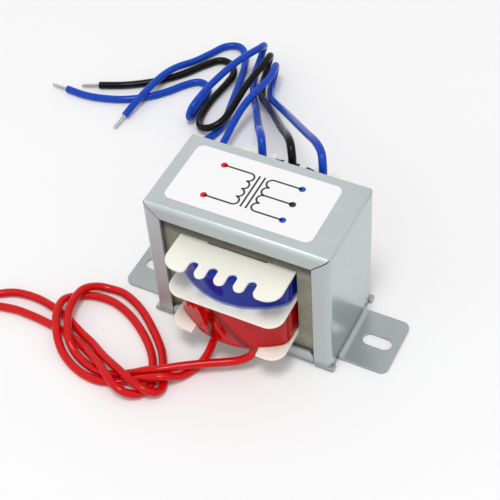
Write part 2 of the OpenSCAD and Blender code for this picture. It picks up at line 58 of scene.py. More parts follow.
# Routes of the leads through the middle of their insulation, in millimetres
PRIMARY_ROUTE_A = [
    (7, -20.3, 9.4), (7, -20.3, 7.8), (6.2, -20.8, 5.6), (3.8, -22.2, 4.2), (0.5, -24, 3.8),
    (-4, -26.5, 3.8), (-9, -29.6, 3.8), (-14, -33, 3.8), (-17, -34.2, 3.2), (-20.5, -35.4, 1.6),
    (-24.5, -37.4, 1.2), (-28.5, -38.4, 1.2), (-33, -37.7, 1.2), (-37.5, -36, 1.7), (-40.5, -34, 3.2),
    (-43, -30.5, 3.7), (-45, -27, 3.7), (-46.2, -22.5, 3.8), (-46, -18, 3.7), (-44, -14.5, 2.2),
    (-40.5, -13, 1.2), (-36, -13, 1.2), (-29.5, -15.7, 1.2), (-23, -20.5, 1.2), (-17.6, -25.6, 1.2),
    (-14.6, -30, 1.2), (-12.3, -34, 1.2), (-11.4, -36.6, 1.4), (-12.2, -38.9, 2.4), (-15, -39.8, 3.6),
    (-19, -38.9, 3.9), (-23.7, -37.2, 3.9), (-29.5, -34.6, 2.9), (-35, -31.4, 1.5), (-40, -29.3, 1.2),
    (-46, -26.6, 1.2), (-52, -24.8, 1.2), (-58, -24, 1.2), (-64, -24.8, 1.2), (-69, -27.6, 1.2),
]
PRIMARY_ROUTE_B = [
    (-4.2, -20.3, 9.4), (-4.2, -20.3, 7.8), (-4.5, -20.9, 5.6), (-5.1, -22.3, 3.2), (-5.8, -24.6, 1.6),
    (-7, -27.8, 1.2), (-8.8, -31.2, 1.7), (-11, -34, 3.6), (-14, -35.8, 3.7), (-17.8, -37, 2.4),
    (-21.3, -38.4, 1.2), (-24.5, -40, 1.2), (-29, -41, 1.2), (-34.5, -40.2, 1.2), (-40, -37.7, 1.6),
    (-43.4, -34.9, 3), (-46, -31.5, 3.7), (-48.2, -27.5, 3.8), (-49.2, -23, 3.2), (-48, -19.5, 1.5),
    (-45, -17.5, 1.2), (-40.5, -16.6, 1.2), (-36, -17, 1.2), (-30, -19.4, 1.2), (-23.5, -23.8, 1.2),
    (-19.2, -28, 1.2), (-16.6, -32, 1.2), (-14.8, -35.6, 1.2), (-15, -38.8, 1.2), (-17, -41.4, 2),
    (-20.5, -42.3, 3.4), (-25, -40.4, 4), (-30, -37, 3.2), (-35.5, -34, 1.7), (-39.5, -32.2, 1.2),
    (-44, -31, 1.2), (-49, -30.3, 1.2), (-54.5, -29.8, 1.2), (-60.5, -29.8, 1.2), (-66.5, -30.9, 1.2),
]
SECONDARY_ROUTE_A = [
    (-8.6, 19.8, 32.6), (-8.6, 19.8, 34.2), (-8.9, 20.4, 36.5), (-10.1, 22.4, 38.1),
    (-12.3, 25.8, 36.9), (-15.4, 31, 32.4), (-19.3, 37.9, 26.6), (-28.6, 54.2, 13.6), (-33, 61.8, 7.9),
    (-36.9, 68.3, 3.9), (-40, 73.7, 1.8), (-42.4, 78.5, 1.2), (-44, 83, 1.2), (-44.7, 86.8, 1.6),
    (-44.8, 89.4, 3.2), (-44.2, 90.2, 5.8), (-43.4, 88.6, 8.2), (-43.4, 85.4, 9.4), (-44.8, 81.4, 9.8),
    (-46.7, 77.2, 9.5), (-48.3, 72.6, 9), (-49.5, 68, 8.5), (-50.3, 64, 8.2), (-50.9, 57.8, 7.8),
    (-51.4, 55.3, 6.7), (-52, 54.3, 4.5), (-52.6, 55.3, 2.3), (-53.1, 57.8, 1.3), (-53.4, 61.2, 1.2),
    (-53.5, 64.5, 1.2), (-53.5, 68, 1.2), (-54.9, 71.2, 1.2), (-58.2, 72.2, 1.2), (-61.4, 69.8, 1.2),
    (-65.6, 64.2, 1.2), (-70, 59.8, 1.2), (-75.9, 56, 1.2), (-82, 53.8, 1.2), (-88.5, 52.7, 1.2),
    (-95.5, 53, 1.2),
]
CENTRE_TAP_ROUTE = [
    (0, 19.8, 32.6), (0, 19.8, 34.2), (-0.4, 20.5, 36.8), (-1.9, 22.8, 38.6), (-4.6, 26.6, 37.1),
    (-8.9, 32.5, 32.5), (-14.2, 40.3, 26.4), (-20, 49, 19.8), (-25.9, 57.5, 13.2), (-31.3, 65.2, 7.4),
    (-35.5, 71, 3.2), (-38, 75.5, 1.5), (-39.6, 79.8, 1.2), (-40.4, 83.2, 1.6), (-40.7, 85.6, 3.2),
    (-40.2, 86.4, 5.8), (-39.3, 84.9, 8.2), (-38.8, 81.6, 9.2), (-38.9, 77.5, 9.2), (-39.5, 73, 8.7),
    (-40, 68.5, 7.9), (-40.3, 64, 6.8), (-40.6, 59.5, 5.6), (-41.5, 55.5, 4.6), (-43.8, 52.8, 3.6),
    (-47.2, 52.8, 2.4), (-49.6, 56, 1.5), (-50.6, 60.5, 1.2), (-50.8, 66, 1.2), (-50.4, 70.8, 1.2),
    (-50, 75, 1.2), (-50.1, 79.5, 1.2), (-52.5, 83.4, 1.2), (-56.7, 84.2, 1.2), (-60.3, 80.5, 1.2),
    (-64.8, 73.8, 1.2), (-71, 67.4, 1.2), (-79, 62, 1.2), (-87, 58.5, 1.2),
]
SECONDARY_ROUTE_B = [
    (8.6, 19.8, 32.6), (8.6, 19.8, 34.2), (8.3, 20.4, 36.9), (6.8, 22.8, 38.9), (3.4, 26.7, 37.9),
    (-1.4, 32.2, 34), (-7, 38.8, 29.2), (-19.7, 54.4, 17.4), (-26.2, 62.6, 10.9), (-31.2, 69, 6),
    (-33.7, 73.4, 3.3), (-35.5, 77, 1.7), (-36.5, 80, 1.7), (-36.9, 82.4, 3.2), (-36.5, 83, 5.8),
    (-35.7, 81.4, 8.1), (-34.8, 78.2, 9), (-34.4, 74.5, 9.1), (-35.5, 65, 9.4), (-36.3, 59.5, 8.4),
    (-36.8, 54, 6.4), (-36.9, 48, 4.4), (-37.9, 42.8, 2.8), (-41, 40, 1.8), (-44.6, 41.5, 1.3),
    (-45.2, 46, 1.2), (-43.4, 51, 1.2), (-42.4, 56.5, 1.2), (-44.6, 68.5, 1.2), (-47.2, 80, 1.2),
    (-48.8, 85.2, 1.3), (-50.9, 89.7, 1.4), (-54.5, 92.4, 1.4), (-58.6, 90.8, 1.3), (-61.2, 86.4, 1.2),
    (-64, 80.2, 1.8), (-67.2, 73, 3.5), (-69, 66.5, 4), (-71, 55.5, 3), (-72, 49, 1.7),
]

# Each lead's node, the node of its stripped end, its route, its finish and its length in millimetres
LEADS = [
    ("primary_lead_a", "primary_end_a", PRIMARY_ROUTE_A, "red", 187),
    ("primary_lead_b", "primary_end_b", PRIMARY_ROUTE_B, "red", 177),
    ("secondary_lead_a", "secondary_end_a", SECONDARY_ROUTE_A, "blue", 205),
    ("centre_tap_lead", "centre_tap_end", CENTRE_TAP_ROUTE, "black", 214),
    ("secondary_lead_b", "secondary_end_b", SECONDARY_ROUTE_B, "blue", 251),
]

# Specular level of each colour of insulation
LEAD_GLOSS = {"red": 0.24, "blue": 0.23, "black": 0.14}


def tone(red, green, blue):
    """A display colour from 0 to 255 as the linear colour that a shader takes."""
    return tuple(
        share / 12.92 if share <= 0.04045 else ((share + 0.055) / 1.055) ** 2.4
        for share in (red / 255, green / 255, blue / 255)
    )


def size(name, description, millimetres):
    """A length that a user may change."""
    return FloatProperty(
        name=name, description=description, default=millimetres * MM, subtype="DISTANCE", unit="LENGTH"
    )


def colour(name, description, value):
    """A colour that a user may change."""
    return FloatVectorProperty(
        name=name, description=description, default=value, subtype="COLOR", min=0, max=1
    )


def spot(name, description, millimetres):
    """A place that a user may change."""
    return FloatVectorProperty(
        name=name,
        description=description,
        default=tuple(value * MM for value in millimetres),
        subtype="XYZ",
        unit="LENGTH",
    )


def turn(name, description, degrees):
    """An angle that a user may change."""
    return FloatProperty(
        name=name,
        description=description,
        default=math.radians(degrees),
        subtype="ANGLE",
        unit="ROTATION",
    )


class StageSettings(bpy.types.PropertyGroup):
    """The floor, the light and the camera."""

    floor: colour("Floor", "Colour of the floor", tone(244, 244, 244))
    floor_radius: size("Floor radius", "Radius of the round floor", 3000)
    ambient: FloatProperty(name="Ambient", description="Light from all around", default=0.68)
    key_power: FloatProperty(name="Key", description="Power of the main lamp", default=5.2, unit="POWER")
    key_width: size("Key width", "Width of the main lamp", 320)
    key_place: spot("Key place", "Place of the main lamp", (90, -300, 1080))
    fill_power: FloatProperty(name="Fill", description="Power of the weak lamp", default=0.2, unit="POWER")
    fill_width: size("Fill width", "Width of the weak lamp", 400)
    fill_place: spot("Fill place", "Place of the weak lamp", (-500, -700, 400))
    azimuth: turn("Azimuth", "Camera's turn to the right of the front", 30.072)
    elevation: turn("Elevation", "Camera's angle above the floor", 48.077)
    roll: turn("Roll", "Camera's turn about its own line of sight", -4.796)
    distance: size("Distance", "Distance of the camera from what it looks at", 373.91)
    target: spot("Target", "Point in the middle of the picture", (-17.17, 24, -10.42))
    lens: FloatProperty(
        name="Lens", description="Focal length on a 36 mm sensor", default=92.9, unit="CAMERA"
    )


class LeadSettings(bpy.types.PropertyGroup):
    """The five leads and their stripped ends."""

    diameter: size("Diameter", "Diameter of the insulation", 2.2)
    sides: IntProperty(name="Sides", description="Sides of a lead's tube", default=20, min=8)
    wire: size("Wire", "Diameter of a stripped end", 1.1)
    strip: size("Strip", "Length of a stripped end", 5.5)
    strands: IntProperty(name="Strands", description="Strands round a stripped end", default=3, min=3)
    twist: FloatProperty(name="Twist", description="Turns of the strands on an end", default=1.9)
    red: colour("Red", "Insulation of the primary leads", tone(204, 5, 11))
    blue: colour("Blue", "Insulation of the secondary leads", tone(6, 66, 180))
    black: colour("Black", "Insulation of the centre tap", tone(14, 14, 14))
    tin: colour("Tin", "Tinned wire", tone(206, 206, 203))


class TapeSettings(bpy.types.PropertyGroup):
    """The tapes round the coils."""

    film: size("Film", "Thickness of the tape as it is seen", 0.15)
    fold: size("Fold", "Width of the edge that is folded over a coil", 2.9)
    corner: size("Corner", "Radius of a coil's corners", 3.4)
    wrinkle: size("Wrinkle", "Depth of the wrinkles", 0.07)
    ridge: size("Ridge", "Height of a lead under the primary tape", 0.22)
    flange: size("Flange", "Thickness of the flange that the primary tape stands on", 0.8)
    flange_gap: size("Flange gap", "Air between a tape and the flange over it", 0.02)
    red: colour("Red", "Film round the primary", tone(187, 3, 3))
    blue: colour("Blue", "Film round the secondary", tone(6, 35, 142))
    # Free edge: partly the paler single layer of film, partly a painted highlight along its rolled edge
    blue_edge_and_highlight: colour("Blue edge", "Free edge of the film round the secondary", tone(136, 152, 214))


class BodySettings(bpy.types.PropertyGroup):
    """The sheet metal, the core, the bobbin and the windings."""

    sheet: colour("Sheet", "Plated sheet of the frame", tone(191, 198, 199))
    core: colour("Core", "Varnished laminations", tone(150, 150, 133))
    bobbin: colour("Bobbin", "Moulded plastic of the bobbin", tone(244, 241, 229))
    wire: colour("Wire", "Enamelled wire of the windings", tone(172, 92, 44))
    sheet_edge: size("Sheet edge", "Rounding of the edges of the sheet", 0.1)
    bobbin_edge: size("Bobbin edge", "Rounding of the edges of the bobbin", 0.14)


class LabelSettings(bpy.types.PropertyGroup):
    """The label and the winding diagram on it."""

    film: colour("Film", "Film of the label", tone(238, 238, 238))
    ink: colour("Ink", "Lines of the diagram", tone(30, 30, 32))
    ink_depth: size("Ink depth", "Thickness of the ink", 0.015)
    line: size("Line", "Width of a line", 0.5)
    bump: size("Bump", "Radius of a turn of a coil", 1.4)
    bumps: IntProperty(name="Bumps", description="Turns of a coil", default=4, min=2)
    coil_gap: size("Coil gap", "Distance between the two coils", 6.4)
    core_gap: size("Core gap", "Distance between the two lines of the core", 1.4)
    lead: size("Lead", "Length of a lead line", 7.5)
    dot: size("Dot", "Radius of the dot at the end of a lead line", 0.9)


class Looks(bpy.types.PropertyGroup):
    """All the settings of the transformer."""

    stage: PointerProperty(type=StageSettings)
    leads: PointerProperty(type=LeadSettings)
    tapes: PointerProperty(type=TapeSettings)
    body: PointerProperty(type=BodySettings)
    label: PointerProperty(type=LabelSettings)


def looks():
    """The settings of the open scene."""
    return bpy.context.scene.transformer_looks


class Value:
    """A socket that Python's operators turn into Math nodes."""

    def __init__(self, graph, socket):
        self.graph = graph
        self.socket = socket

    def math(self, operation, *numbers):
        return self.graph.node("ShaderNodeMath", {"operation": operation}, dict(enumerate(numbers)))

    def __add__(self, other):
        return self.math("ADD", self, other)

    def __sub__(self, other):
        return self.math("SUBTRACT", self, other)

    def __rsub__(self, other):
        return self.math("SUBTRACT", other, self)

    def __mul__(self, other):
        return self.math("MULTIPLY", self, other)

    def __truediv__(self, other):
        return self.math("DIVIDE", self, other)

    def __abs__(self):
        return self.math("ABSOLUTE", self)

    __radd__ = __add__
    __rmul__ = __mul__

    def larger(self, other):
        return self.math("MAXIMUM", self, other)

    def rise(self, low, high):
        """0 below low, 1 above high and smooth between them."""
        sockets = {"Value": self, "From Min": low, "From Max": high}
        return self.graph.node("ShaderNodeMapRange", {"interpolation_type": "SMOOTHSTEP"}, sockets)


class Graph:
    """A node tree whose nodes all come from one method."""

    def __init__(self, tree):
        self.tree = tree

    def node(self, kind, settings, sockets, output=0):
        """A node of any type: its settings first, then the values or links of its sockets."""
        made = self.tree.nodes.new(kind)
        for name, value in settings.items():
            setattr(made, name, value)
        for key, value in sockets.items():
            self.feed(made.inputs[key], value)
        return Value(self, made.outputs[output])

    def feed(self, socket, value):
        """Sets a socket to a number, or links it to another socket."""
        if isinstance(value, Value):
            self.tree.links.new(value.socket, socket)
        else:
            socket.default_value = value


class Finish(Graph):
    """A procedural material on one Principled shader."""

    def __init__(self, name, **constants):
        self.material = bpy.data.materials.new(name)
        self.material.use_nodes = True
        super().__init__(self.material.node_tree)
        self.shader = self.tree.nodes["Principled BSDF"]
        for socket, value in constants.items():
            self.set(socket.replace("_", " ").title().replace("Ior", "IOR"), value)

    def set(self, socket, value):
        """Sets or links an input of the shader."""
        target = self.shader.inputs[socket]
        if target.type == "RGBA" and not isinstance(value, Value):
            value = (*value, 1)
        self.feed(target, value)

    def place(self, stretch=(1, 1, 1)):
        """Places on the piece in its own frame, stretched along the axes."""
        coordinates = self.node("ShaderNodeTexCoord", {}, {}, "Object")
        sockets = {0: coordinates, 1: stretch}
        return self.node("ShaderNodeVectorMath", {"operation": "MULTIPLY"}, sockets)

    def along(self, axis):
        """Place along an axis of the part in millimetres."""
        return self.node("ShaderNodeSeparateXYZ", {}, {0: self.place()}, axis) / MM

    def noise(self, grain_mm, detail=2.0, stretch=(1, 1, 1)):
        """Cloudy noise from 0 to 1 whose spots are about grain_mm across."""
        sockets = {"Vector": self.place(stretch), "Scale": 1 / (grain_mm * MM), "Detail": detail}
        return self.node("ShaderNodeTexNoise", {}, sockets, "Fac")

    def bands(self, axis, width_mm, distortion):
        """Waves along an axis, from 0 to 1, that repeat every width_mm."""
        scale = math.pi / (10 * width_mm * MM)
        sockets = {"Vector": self.place(), "Scale": scale, "Distortion": distortion}
        return self.node("ShaderNodeTexWave", {"bands_direction": axis}, sockets, "Fac")

    def attribute(self, name):
        """A number that the mesh carries at its points."""
        return self.node("ShaderNodeAttribute", {"attribute_name": name}, {}, "Fac")

    def mix(self, share, first, second):
        """A colour between two colours."""
        sockets = {0: share}
        for key, value in ((6, first), (7, second)):
            sockets[key] = value if isinstance(value, Value) else (*value, 1)
        return self.node("ShaderNodeMix", {"data_type": "RGBA"}, sockets, 2)

    def bump(self, height, depth_mm, strength=1.0):
        """A relief of that depth on the shader's normal."""
        sockets = {"Height": height, "Distance": depth_mm * MM, "Strength": strength}
        self.set("Normal", self.node("ShaderNodeBump", {}, sockets, "Normal"))


def shade(value, factor):
    """A colour made lighter or darker by a factor."""
    return tuple(min(1.0, channel * factor) for channel in value)


# Heights over which the painted shade on the feet ends and the painted shade under the top lip begins,
# and distances from the middle of the depth over which the satin of the lips begins, in millimetres
FOOT_SHADE_HEIGHTS = (1.5, 3.5)
LIP_SHADE_HEIGHTS = (32.5, 35.5)
LIP_DEPTHS = (12.3, 13.3)


def plated_sheet():
    """Bright zinc plating with faint clouds and a fine grain, satin on the lips, and painted shade low on
    the feet.
    """
    base = looks().body.sheet
    finish = Finish("plated_sheet", metallic=1.0)
    clouds = finish.noise(9, 3)
    grain = finish.noise(0.22, 2, (0.25, 1, 1))
    bright = finish.mix(clouds, shade(base, 0.93), shade(base, 1.07))
    # Painted shade: the plating low down, on the feet and the bends above them, is darkened to stand in
    # for their darker reflections
    painted_shade_low = finish.mix(clouds, shade(base, 0.64), shade(base, 0.83))
    finish.set("Base Color", finish.mix(finish.along("Z").rise(*FOOT_SHADE_HEIGHTS), painted_shade_low, bright))
    lips = abs(finish.along("Y")).rise(*LIP_DEPTHS)
    finish.set("Roughness", 0.19 + 0.06 * grain + 0.08 * clouds + 0.33 * lips)
    finish.bump(grain, 0.01, 0.12)
    return finish.material


def varnished_core():
    """Silicon steel under varnish, with painted shade high up under the frame's lip, and the edges of its
    sheets.
    """
    base = looks().body.core
    finish = Finish("varnished_core", metallic=0.45)
    mottle = finish.noise(4, 4)
    specks = finish.noise(0.5, 2)
    stain = (mottle * 0.75 + specks * 0.25).rise(0.3, 0.7)
    ground = finish.mix(stain, shade(base, 0.78), shade(base, 1.12))
    # Painted shade: the core is darkened near its top, where the frame's lip shades it
    painted_shade_under_lip = finish.mix(stain, shade(base, 0.26), shade(base, 0.4))
    finish.set("Base Color", finish.mix(finish.along("Z").rise(*LIP_SHADE_HEIGHTS), ground, painted_shade_under_lip))
    finish.set("Roughness", 0.4 + 0.25 * mottle)
    sheets = finish.bands("Y", 1.0, 0.4)
    finish.bump(sheets * 0.7 + specks * 0.3, 0.05, 0.6)
    return finish.material


def moulded_nylon():
    """Ivory plastic that lets a little light in, with a fine moulded grain."""
    base = looks().body.bobbin
    finish = Finish("moulded_nylon", subsurface_weight=0.35, subsurface_scale=0.0015)
    finish.set("Subsurface Radius", (1.0, 0.85, 0.55))
    clouds = finish.noise(6, 2)
    grain = finish.noise(0.16, 2)
    finish.set("Base Color", finish.mix(clouds, shade(base, 0.955), shade(base, 1.02)))
    finish.set("Roughness", 0.4 + 0.12 * grain)
    finish.bump(grain, 0.008, 0.5)
    return finish.material


def film_tape(name, base, deep, pale_and_highlight):
    """Coloured polyester film: glossy, deeper where it lies on a lead, and paler at its free edge, partly
    as a painted highlight along the rolled edge.
    """
    finish = Finish(name, coat_roughness=0.08, specular_ior_level=0.22)
    streaks = finish.noise(2.2, 3, (1, 1, 0.35))
    fine = finish.noise(0.3, 2)
    ground = finish.mix(streaks, shade(base, 0.93), shade(base, 1.06))
    pressed = finish.mix(finish.attribute("contact"), ground, deep)
    # Paler free edge, partly the single layer of film and partly a painted highlight
    finish.set("Base Color", finish.mix(finish.attribute("free_edge"), pressed, pale_and_highlight))
    finish.set("Roughness", 0.05 + 0.08 * streaks)
    finish.set("Coat Weight", 0.03 + 0.08 * streaks)
    finish.bump(streaks * 0.8 + fine * 0.2, 0.03, 0.2)
    return finish.material


def lead_vinyl(name, base, gloss):
    """Soft insulation with a clear shine and a faintly uneven skin."""
    finish = Finish(name, specular_ior_level=gloss)
    clouds = finish.noise(3, 2)
    skin = finish.noise(0.35, 2)
    finish.set("Base Color", finish.mix(clouds, shade(base, 0.9), shade(base, 1.08)))
    finish.set("Roughness", 0.13 + 0.09 * skin)
    finish.bump(skin, 0.012, 0.25)
    return finish.material


def tinned_wire():
    """Solder over twisted copper strands."""
    base = looks().leads.tin
    finish = Finish("tinned_wire", metallic=1.0)
    clouds = finish.noise(0.8, 3)
    finish.set("Base Color", finish.mix(clouds, shade(base, 0.7), shade(base, 1.1)))
    finish.set("Roughness", 0.2 + 0.2 * clouds)
    finish.bump(clouds, 0.02, 0.4)
    return finish.material


def enamelled_wire():
    """Layers of fine copper wire, one turn over another."""
    base = looks().body.wire
    finish = Finish("enamelled_wire", metallic=0.7, coat_weight=0.4)
    turns = finish.bands("Z", 0.349, 0.6)
    clouds = finish.noise(2, 2)
    finish.set("Base Color", finish.mix(turns * 0.7 + clouds * 0.3, shade(base, 0.45), shade(base, 1.1)))
    finish.set("Roughness", 0.3 + 0.15 * clouds)
    finish.bump(turns, 0.08, 0.8)
    return finish.material


def label_film():
    """White printing film with a faint tooth."""
    base = looks().label.film
    finish = Finish("label_film", specular_ior_level=0.35)
    clouds = finish.noise(12, 2)
    tooth = finish.noise(0.12, 2)
    finish.set("Base Color", finish.mix(clouds, shade(base, 0.975), shade(base, 1.0)))
    finish.set("Roughness", 0.42 + 0.12 * tooth)
    finish.bump(tooth, 0.006, 0.4)
    return finish.material


def print_ink(name, base):
    """Printed ink, thinner in places."""
    finish = Finish(name)
    cover = finish.noise(0.4, 3)
    finish.set("Base Color", finish.mix(cover, shade(base, 0.85), shade(base, 1.25)))
    finish.set("Roughness", 0.45 + 0.15 * cover)
    return finish.material


def link(name, mesh):
    """A new object in the scene that holds a mesh."""
    piece = bpy.data.objects.new(name, mesh)
    bpy.context.scene.collection.objects.link(piece)
    return piece


def evaluated_mesh(piece, name):
    """The shape of an object with its modifiers, as a plain mesh."""
    graph = bpy.context.evaluated_depsgraph_get()
    mesh = bpy.data.meshes.new_from_object(piece.evaluated_get(graph))
    mesh.name = name
    return mesh


def settle(piece, name):
    """Puts an object's evaluated shape in place of its mesh and modifiers."""
    mesh = evaluated_mesh(piece, name)
    piece.modifiers.clear()
    piece.data = mesh
    return piece


def stand_for(piece, slot, *nodes):
    """A finished piece rides on the body and stands for its nodes."""
    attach(piece, BODY)
    if nodes:
        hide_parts(*nodes)


def dress(node, material):
    """A node that keeps its own shape gets a finish."""
    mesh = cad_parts[node].data
    mesh.materials.clear()
    mesh.materials.append(material)


class Shape(Graph):
    """A tree of geometry nodes with named inputs."""

    def __init__(self, name, inputs):
        super().__init__(bpy.data.node_groups.new(name, "GeometryNodeTree"))
        face = self.tree.interface
        face.new_socket("Geometry", in_out="INPUT", socket_type="NodeSocketGeometry")
        self.identifiers = {
            label: face.new_socket(label, in_out="INPUT", socket_type=kind).identifier
            for label, kind in {**inputs, "Material": "NodeSocketMaterial"}.items()
        }
        face.new_socket("Geometry", in_out="OUTPUT", socket_type="NodeSocketGeometry")
        self.group = self.tree.nodes.new("NodeGroupInput")

    def given(self, label):
        """The socket of a named input."""
        return Value(self, self.group.outputs[label])

    def end(self, geometry):
        """Makes the result real, smooth and of one material."""
        real = self.node("GeometryNodeRealizeInstances", {}, {"Geometry": geometry})
        smooth = self.node("GeometryNodeSetShadeSmooth", {}, {"Geometry": real})
        sockets = {"Geometry": smooth, "Material": self.given("Material")}
        dressed = self.node("GeometryNodeSetMaterial", {}, sockets)
        output = self.tree.nodes.new("NodeGroupOutput")
        self.feed(output.inputs["Geometry"], dressed)

    def tube(self, path, radius, sides):
        """A round tube along a curve."""
        sockets = {"Resolution": sides, "Radius": radius}
        ring = self.node("GeometryNodeCurvePrimitiveCircle", {"mode": "RADIUS"}, sockets)
        sockets = {"Curve": path, "Profile Curve": ring, "Fill Caps": True}
        return self.node("GeometryNodeCurveToMesh", {}, sockets)

    def grow(self, name, seed, **values):
        """A plain mesh object that the tree makes from a seed mesh."""
        piece = link(name, seed)
        modifier = piece.modifiers.new(self.tree.name, "NODES")
        modifier.node_group = self.tree
        for label, value in values.items():
            modifier[self.identifiers[label.replace("_", " ").capitalize()]] = value
        return settle(piece, name)


def wire_mesh(name, points):
    """A mesh of one open chain of edges."""
    mesh = bpy.data.meshes.new(name)
    mesh.from_pydata(points, [(i, i + 1) for i in range(len(points) - 1)], [])
    return mesh


def lead_shape():
    """A round tube along a chain of edges."""
    shape = Shape("Lead along its route", {"Radius": "NodeSocketFloat", "Sides": "NodeSocketInt"})
    route = shape.node("GeometryNodeMeshToCurve", {}, {"Mesh": shape.given("Geometry")})
    shape.end(shape.tube(route, shape.given("Radius"), shape.given("Sides")))
    return shape


# Radius of a strand and of the middle one, as shares of the radius of the bundle
STRAND_SHARE = 0.42
MIDDLE_SHARE = 0.32
# Ring of strands at the tip, as a share of the ring at the root
TIP_SHARE = 0.92
# Length of the middle strand, as a share of the length of the bundle
MIDDLE_LENGTH = 0.99
STRAND_POINTS = 32
STRAND_SIDES = 8
MIDDLE_SIDES = 12


def strands_shape():
    """Twisted strands round a middle one, standing on the origin and then put in place."""
    shape = Shape(
        "Twisted strands",
        {
            "Strands": "NodeSocketInt",
            "Twist": "NodeSocketFloat",
            "Radius": "NodeSocketFloat",
            "Length": "NodeSocketFloat",
            "Place": "NodeSocketVector",
            "Turn": "NodeSocketRotation",
        },
    )
    radius, length = shape.given("Radius"), shape.given("Length")
    strand_r = radius * STRAND_SHARE
    ring_r = radius - strand_r
    spiral = shape.node(
        "GeometryNodeCurveSpiral",
        {},
        {
            "Resolution": STRAND_POINTS,
            "Rotations": shape.given("Twist"),
            "Start Radius": ring_r,
            "End Radius": ring_r * TIP_SHARE,
            "Height": length,
            "Reverse": False,
        },
    )
    middle = shape.node(
        "GeometryNodeCurvePrimitiveLine",
        {},
        {"End": shape.node("ShaderNodeCombineXYZ", {}, {"Z": length * MIDDLE_LENGTH})},
    )
    strand = shape.tube(spiral, strand_r, STRAND_SIDES)
    core = shape.tube(middle, radius * MIDDLE_SHARE, MIDDLE_SIDES)
    spots = shape.node("GeometryNodePoints", {}, {"Count": shape.given("Strands")})
    index = shape.node("GeometryNodeInputIndex", {}, {})
    angle = index * (2 * math.pi) / shape.given("Strands")
    spread = shape.node("ShaderNodeCombineXYZ", {}, {"Z": angle})
    turned = shape.node("FunctionNodeEulerToRotation", {}, {"Euler": spread})
    bundle = shape.node(
        "GeometryNodeInstanceOnPoints", {}, {"Points": spots, "Instance": strand, "Rotation": turned}
    )
    joined = shape.node("GeometryNodeJoinGeometry", {}, {"Geometry": bundle})
    shape.feed(joined.socket.node.inputs["Geometry"], core)
    placed = shape.node(
        "GeometryNodeTransform",
        {},
        {"Geometry": joined, "Translation": shape.given("Place"), "Rotation": shape.given("Turn")},
    )
    shape.end(placed)
    return shape


def smooth_route(points, steps=8):
    """The smooth curve through a lead's points, in metres."""
    points = [Vector(point) * MM for point in points]
    last = len(points) - 1
    headings = [
        (points[min(i + 1, last)] - points[max(i - 1, 0)]).normalized() for i in range(last + 1)
    ]
    curve = []
    for i in range(last):
        start, end = points[i], points[i + 1]
        span = (end - start).length
        for step in range(steps):
            t = step / steps
            curve.append(
                start * (2 * t**3 - 3 * t**2 + 1)
                + headings[i] * span * (t**3 - 2 * t**2 + t)
                + end * (3 * t**2 - 2 * t**3)
                + headings[i + 1] * span * (t**3 - t**2)
            )
    return curve + [points[last]], headings[last]


class TRANSFORMER_OT_stage(bpy.types.Operator):
    """Makes the camera, the floor and the light"""

    bl_idname = "transformer.stage"
    bl_label = "Stage"

    def execute(self, context):
        settings = looks().stage
        context.scene.view_settings.view_transform = "Standard"
        self.camera(settings)
        self.floor(settings)
        self.lamps(settings)
        self.world(settings)
        return {"FINISHED"}

    def camera(self, settings):
        """A camera at the side and height of the picture."""
        side, height = settings.azimuth, settings.elevation
        back = Vector(
            (math.sin(side) * math.cos(height), -math.cos(side) * math.cos(height), math.sin(height))
        )
        right = Vector((math.cos(side), math.sin(side), 0))
        up = back.cross(right)
        rolled_right = right * math.cos(settings.roll) + up * math.sin(settings.roll)
        rolled_up = up * math.cos(settings.roll) - right * math.sin(settings.roll)
        data = bpy.data.cameras.new("camera")
        data.lens = settings.lens
        data.sensor_width = 36
        data.clip_start = 0.01
        camera = link("camera", data)
        turned = Matrix((rolled_right, rolled_up, back)).transposed().to_4x4()
        place = Vector(settings.target) + back * settings.distance
        camera.matrix_world = Matrix.Translation(place) @ turned
        bpy.context.scene.camera = camera

    def floor(self, settings):
        """A round white floor at the height of the feet."""
        finish = Finish("white_floor", roughness=0.9, specular_ior_level=0.1)
        clouds = finish.noise(400, 2)
        finish.set("Base Color", finish.mix(clouds, shade(settings.floor, 0.995), settings.floor))
        shape = bmesh.new()
        bmesh.ops.create_circle(shape, cap_ends=True, segments=96, radius=settings.floor_radius)
        mesh = bpy.data.meshes.new("floor")
        shape.to_mesh(mesh)
        shape.free()
        mesh.materials.append(finish.material)
        link("floor", mesh)

    def lamps(self, settings):
        """A main lamp overhead and a weak one at the left front."""
        self.lamp("key_lamp", settings.key_place, settings.key_width, settings.key_power)
        self.lamp("fill_lamp", settings.fill_place, settings.fill_width, settings.fill_power)

    def lamp(self, name, place, width, power):
        """A square lamp that looks at the object."""
        data = bpy.data.lights.new(name, "AREA")
        data.size = width
        data.energy = power
        lamp = link(name, data)
        lamp.location = place
        lamp.rotation_euler = Vector(place).to_track_quat("Z", "Y").to_euler()

    def world(self, settings):
        """An even pale surrounding, white where it is seen or mirrored."""
        world = bpy.data.worlds.new("studio")
        world.use_nodes = True
        bpy.context.scene.world = world
        graph = Graph(world.node_tree)
        rays = [
            graph.node("ShaderNodeLightPath", {}, {}, ray)
            for ray in ("Is Camera Ray", "Is Glossy Ray", "Is Transmission Ray")
        ]
        seen = rays[0].larger(rays[1]).larger(rays[2])
        background = world.node_tree.nodes["Background"]
        background.inputs["Color"].default_value = (1, 1, 1, 1)
        graph.feed(background.inputs["Strength"], settings.ambient + (1 - settings.ambient) * seen)


